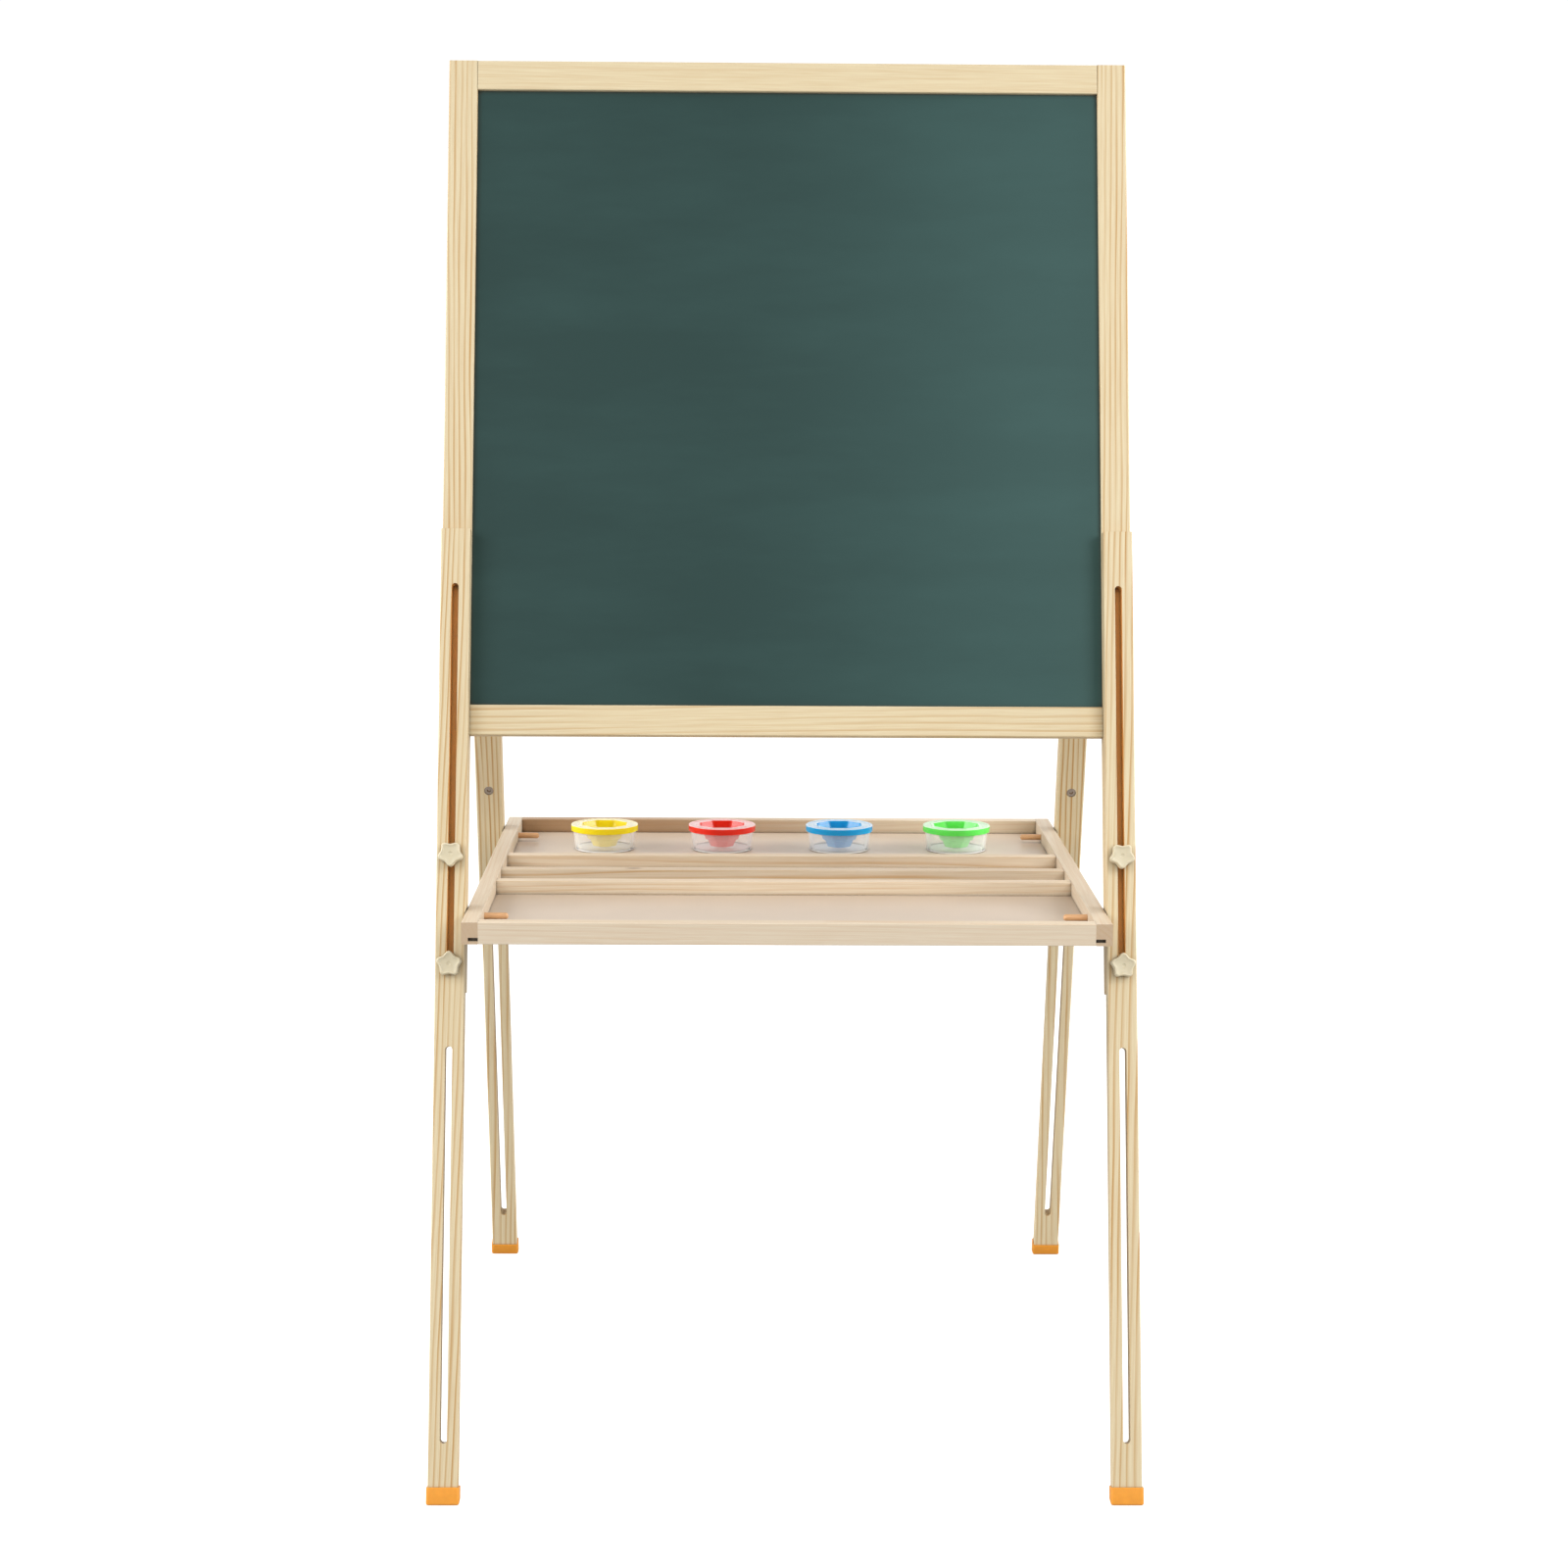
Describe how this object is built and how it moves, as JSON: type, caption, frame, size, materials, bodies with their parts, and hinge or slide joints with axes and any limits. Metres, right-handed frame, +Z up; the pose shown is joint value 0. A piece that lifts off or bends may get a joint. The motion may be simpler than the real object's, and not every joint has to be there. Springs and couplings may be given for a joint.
{
  "type": "kids easel",
  "caption": "Double-sided wooden children's easel with a chalkboard, a whiteboard, height-adjustable slotted legs, a peg-held tray and no-spill paint cups.",
  "frame": {"origin": "on the floor, midway between the four feet", "axes": "+Z up, -Y the chalkboard side, +X to the right seen from the chalkboard side"},
  "size_m": [0.6416, 0.7498, 1.2863],
  "materials": {
    "pine": "planed pine, clear matt lacquer",
    "beech": "turned beech, bare",
    "tray_panel": "thin plywood, matt",
    "chalkboard_face": "matt dark green chalkboard paint",
    "whiteboard_face": "glossy white melamine",
    "zinc_steel": "zinc plated",
    "ivory_plastic": "moulded nylon, satin",
    "orange_rubber": "soft moulded rubber, matt",
    "clear_plastic": "clear moulded polypropylene",
    "yellow_plastic": "moulded polypropylene",
    "red_plastic": "moulded polypropylene",
    "blue_plastic": "moulded polypropylene",
    "green_plastic": "moulded polypropylene"
  },
  "bodies": {
    "front_frame": {"front_left_stile": "pine", "front_right_stile": "pine", "front_top_rail": "pine", "front_bottom_rail": "pine", "chalkboard": "chalkboard_face", "front_frame_dowels": "beech", "front_bolts": "zinc_steel", "front_hinge_leaves": "zinc_steel", "front_hinge_screws": "zinc_steel", "hinge_pins": "zinc_steel"},
    "rear_frame": {"rear_left_stile": "pine", "rear_right_stile": "pine", "rear_top_rail": "pine", "rear_bottom_rail": "pine", "whiteboard": "whiteboard_face", "rear_frame_dowels": "beech", "rear_bolts": "zinc_steel", "rear_hinge_leaves": "zinc_steel", "rear_hinge_screws": "zinc_steel"},
    "tray": {"tray_front_rail": "pine", "tray_back_rail": "pine", "tray_left_rail": "pine", "tray_right_rail": "pine", "tray_back_divider": "pine", "tray_middle_divider": "pine", "tray_front_divider": "pine", "tray_floor": "tray_panel", "tray_dowels": "beech"},
    "front_left_leg": {"front_left_leg": "pine", "front_left_foot_cap": "orange_rubber"},
    "front_left_upper_knob": {"front_left_upper_knob": "ivory_plastic"},
    "front_left_lower_knob": {"front_left_lower_knob": "ivory_plastic"},
    "front_left_peg": {"front_left_peg": "beech"},
    "front_right_leg": {"front_right_leg": "pine", "front_right_foot_cap": "orange_rubber"},
    "front_right_upper_knob": {"front_right_upper_knob": "ivory_plastic"},
    "front_right_lower_knob": {"front_right_lower_knob": "ivory_plastic"},
    "front_right_peg": {"front_right_peg": "beech"},
    "rear_left_leg": {"rear_left_leg": "pine", "rear_left_foot_cap": "orange_rubber"},
    "rear_left_upper_knob": {"rear_left_upper_knob": "ivory_plastic"},
    "rear_left_lower_knob": {"rear_left_lower_knob": "ivory_plastic"},
    "rear_left_peg": {"rear_left_peg": "beech"},
    "rear_right_leg": {"rear_right_leg": "pine", "rear_right_foot_cap": "orange_rubber"},
    "rear_right_upper_knob": {"rear_right_upper_knob": "ivory_plastic"},
    "rear_right_lower_knob": {"rear_right_lower_knob": "ivory_plastic"},
    "rear_right_peg": {"rear_right_peg": "beech"},
    "yellow_cup": {"yellow_cup": "clear_plastic"},
    "yellow_lid": {"yellow_lid": "yellow_plastic"},
    "red_cup": {"red_cup": "clear_plastic"},
    "red_lid": {"red_lid": "red_plastic"},
    "blue_cup": {"blue_cup": "clear_plastic"},
    "blue_lid": {"blue_lid": "blue_plastic"},
    "green_cup": {"green_cup": "clear_plastic"},
    "green_lid": {"green_lid": "green_plastic"}
  },
  "joints": [
    {"name": "fold", "type": "hinge", "parent": "front_frame", "child": "rear_frame", "pos_m": [0, 0, 1.27405], "axis": [-1, 0, 0], "range_deg": [0, 30]},
    {"name": "tray_swing", "type": "hinge", "parent": "front_frame", "child": "tray", "pos_m": [0, -0.21697, 0.50449], "axis": [-1, 0, 0], "range_deg": [0, 105]},
    {"name": "front_left_leg_slide", "type": "slide", "parent": "front_frame", "child": "front_left_leg", "axis": [0, -0.2588, -0.9659], "range_m": [0, 0.2477]},
    {"name": "front_left_upper_knob_turn", "type": "hinge", "parent": "front_frame", "child": "front_left_upper_knob", "pos_m": [-0.306, -0.22334, 0.56262], "axis": [0, -0.9659, 0.2588], "continuous": true},
    {"name": "front_left_lower_knob_turn", "type": "hinge", "parent": "front_frame", "child": "front_left_lower_knob", "pos_m": [-0.306, -0.24923, 0.46602], "axis": [0, -0.9659, 0.2588], "continuous": true},
    {"name": "front_left_peg_pull", "type": "slide", "parent": "tray", "child": "front_left_peg", "axis": [1, 0, 0], "range_m": [0, 0.03]},
    {"name": "front_right_leg_slide", "type": "slide", "parent": "front_frame", "child": "front_right_leg", "axis": [0, -0.2588, -0.9659], "range_m": [0, 0.2477]},
    {"name": "front_right_upper_knob_turn", "type": "hinge", "parent": "front_frame", "child": "front_right_upper_knob", "pos_m": [0.306, -0.22334, 0.56262], "axis": [0, -0.9659, 0.2588], "continuous": true},
    {"name": "front_right_lower_knob_turn", "type": "hinge", "parent": "front_frame", "child": "front_right_lower_knob", "pos_m": [0.306, -0.24923, 0.46602], "axis": [0, -0.9659, 0.2588], "continuous": true},
    {"name": "front_right_peg_pull", "type": "slide", "parent": "tray", "child": "front_right_peg", "axis": [-1, 0, 0], "range_m": [0, 0.03]},
    {"name": "rear_left_leg_slide", "type": "slide", "parent": "rear_frame", "child": "rear_left_leg", "axis": [0, 0.2588, -0.9659], "range_m": [0, 0.2477]},
    {"name": "rear_left_upper_knob_turn", "type": "hinge", "parent": "rear_frame", "child": "rear_left_upper_knob", "pos_m": [-0.306, 0.22334, 0.56262], "axis": [0, 0.9659, 0.2588], "continuous": true},
    {"name": "rear_left_lower_knob_turn", "type": "hinge", "parent": "rear_frame", "child": "rear_left_lower_knob", "pos_m": [-0.306, 0.24923, 0.46602], "axis": [0, 0.9659, 0.2588], "continuous": true},
    {"name": "rear_left_peg_pull", "type": "slide", "parent": "tray", "child": "rear_left_peg", "axis": [1, 0, 0], "range_m": [0, 0.03]},
    {"name": "rear_right_leg_slide", "type": "slide", "parent": "rear_frame", "child": "rear_right_leg", "axis": [0, 0.2588, -0.9659], "range_m": [0, 0.2477]},
    {"name": "rear_right_upper_knob_turn", "type": "hinge", "parent": "rear_frame", "child": "rear_right_upper_knob", "pos_m": [0.306, 0.22334, 0.56262], "axis": [0, 0.9659, 0.2588], "continuous": true},
    {"name": "rear_right_lower_knob_turn", "type": "hinge", "parent": "rear_frame", "child": "rear_right_lower_knob", "pos_m": [0.306, 0.24923, 0.46602], "axis": [0, 0.9659, 0.2588], "continuous": true},
    {"name": "rear_right_peg_pull", "type": "slide", "parent": "tray", "child": "rear_right_peg", "axis": [-1, 0, 0], "range_m": [0, 0.03]},
    {"name": "yellow_cup_lift", "type": "slide", "parent": "tray", "child": "yellow_cup", "axis": [0, 0, 1], "range_m": [0, 0.06]},
    {"name": "yellow_lid_lift", "type": "slide", "parent": "yellow_cup", "child": "yellow_lid", "axis": [0, 0, 1], "range_m": [0, 0.03]},
    {"name": "red_cup_lift", "type": "slide", "parent": "tray", "child": "red_cup", "axis": [0, 0, 1], "range_m": [0, 0.06]},
    {"name": "red_lid_lift", "type": "slide", "parent": "red_cup", "child": "red_lid", "axis": [0, 0, 1], "range_m": [0, 0.03]},
    {"name": "blue_cup_lift", "type": "slide", "parent": "tray", "child": "blue_cup", "axis": [0, 0, 1], "range_m": [0, 0.06]},
    {"name": "blue_lid_lift", "type": "slide", "parent": "blue_cup", "child": "blue_lid", "axis": [0, 0, 1], "range_m": [0, 0.03]},
    {"name": "green_cup_lift", "type": "slide", "parent": "tray", "child": "green_cup", "axis": [0, 0, 1], "range_m": [0, 0.06]},
    {"name": "green_lid_lift", "type": "slide", "parent": "green_cup", "child": "green_lid", "axis": [0, 0, 1], "range_m": [0, 0.03]}
  ],
  "couplings": [
    {"joint": "tray_swing", "follows": "fold", "ratio": 3.5}
  ]
}
